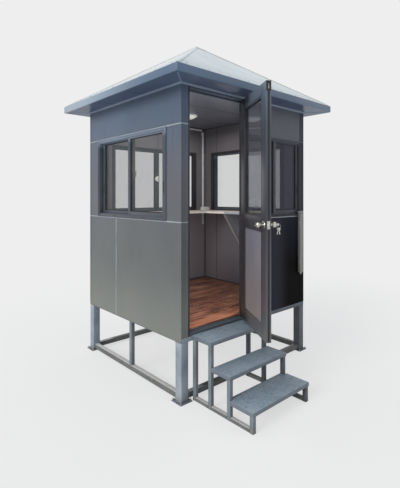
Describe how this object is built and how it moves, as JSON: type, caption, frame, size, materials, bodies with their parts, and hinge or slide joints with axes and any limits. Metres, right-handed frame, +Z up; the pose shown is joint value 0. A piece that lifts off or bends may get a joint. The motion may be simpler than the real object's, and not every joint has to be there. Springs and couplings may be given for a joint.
{
  "type": "security guard booth",
  "caption": "Small walk-in guard booth of slate panels on a steel stand, with sliding windows, a hinged glazed door, a hipped roof and steps.",
  "frame": {"origin": "on the ground at the centre of the footprint, eaves and steps included", "axes": "+Z up, +X right along the door face as seen from outside, +Y from the door face towards the back"},
  "size_m": [2.234, 2.5492, 3.461],
  "materials": {
    "stand_paint": "satin grey paint over galvanising, scuffed at the feet",
    "floor_underside": "dull grey sheet under the floor",
    "wood_floor": "red-brown laminate planks, semi gloss",
    "dark_trim": "dark slate paint, satin",
    "wall_slate": "slate grey-blue coated panel, satin",
    "joint_silver": "mill finish joint strips",
    "window_grey": "slate powder coat",
    "clear_glass": "clear float glass",
    "latch_white": "white enamelled latch",
    "steel_fittings": "polished stainless steel",
    "door_slate": "slate powder coat",
    "ceiling_grey": "grey gloss sheet",
    "soffit_navy": "dark navy slate gloss sheet",
    "fascia_blue": "grey-blue coated sheet",
    "roof_white": "pale coated sheet, satin",
    "roof_cap_grey": "grey coated sheet",
    "desk_beige": "beige laminate board",
    "bracket_grey": "grey paint",
    "lamp_white": "white opal diffuser",
    "white_plastic": "white plastic",
    "meter_grey": "light grey enamel",
    "step_paint": "grey-blue paint, scuffed"
  },
  "bodies": {
    "booth": {"base_plates": "stand_paint", "stand_legs": "stand_paint", "tie_beams": "stand_paint", "stand_posts": "stand_paint", "floor_frame": "stand_paint", "floor_panel": "floor_underside", "floor_boards": "wood_floor", "threshold": "dark_trim", "corner_posts": "wall_slate", "left_wall_lower": "wall_slate", "left_wall_upper": "wall_slate", "right_wall_lower": "wall_slate", "right_wall_upper": "wall_slate", "back_wall_lower": "wall_slate", "back_wall_upper": "wall_slate", "front_wall_lower": "wall_slate", "front_wall_upper": "wall_slate", "wall_piers": "wall_slate", "joint_strips": "joint_silver", "left_window_frame": "window_grey", "right_window_frame": "window_grey", "back_window_frame": "window_grey", "front_window_frame": "window_grey", "window_sashes": "window_grey", "window_glass": "clear_glass", "window_latches": "latch_white", "door_frame": "dark_trim", "jamb_hinges": "steel_fittings", "ceiling_panel": "ceiling_grey", "soffit_boards": "soffit_navy", "fascia_boards": "fascia_blue", "roof_sheets": "roof_white", "roof_cap": "roof_cap_grey", "desk": "desk_beige", "desk_brackets": "bracket_grey", "ceiling_lamp": "lamp_white", "conduit": "white_plastic", "outlet_box": "white_plastic", "meter_box": "meter_grey", "step_treads": "step_paint", "step_legs": "step_paint", "step_runners": "step_paint"},
    "door": {"door_leaf_frame": "door_slate", "door_lower_panel": "door_slate", "door_glass": "clear_glass", "door_lock": "steel_fittings", "leaf_hinges": "steel_fittings"}
  },
  "joints": [
    {"name": "door_hinge", "type": "hinge", "parent": "booth", "child": "door", "pos_m": [-0.0915, -0.59935, 1.62], "axis": [0, 0, 1], "range_deg": [-58.3, 110]}
  ]
}
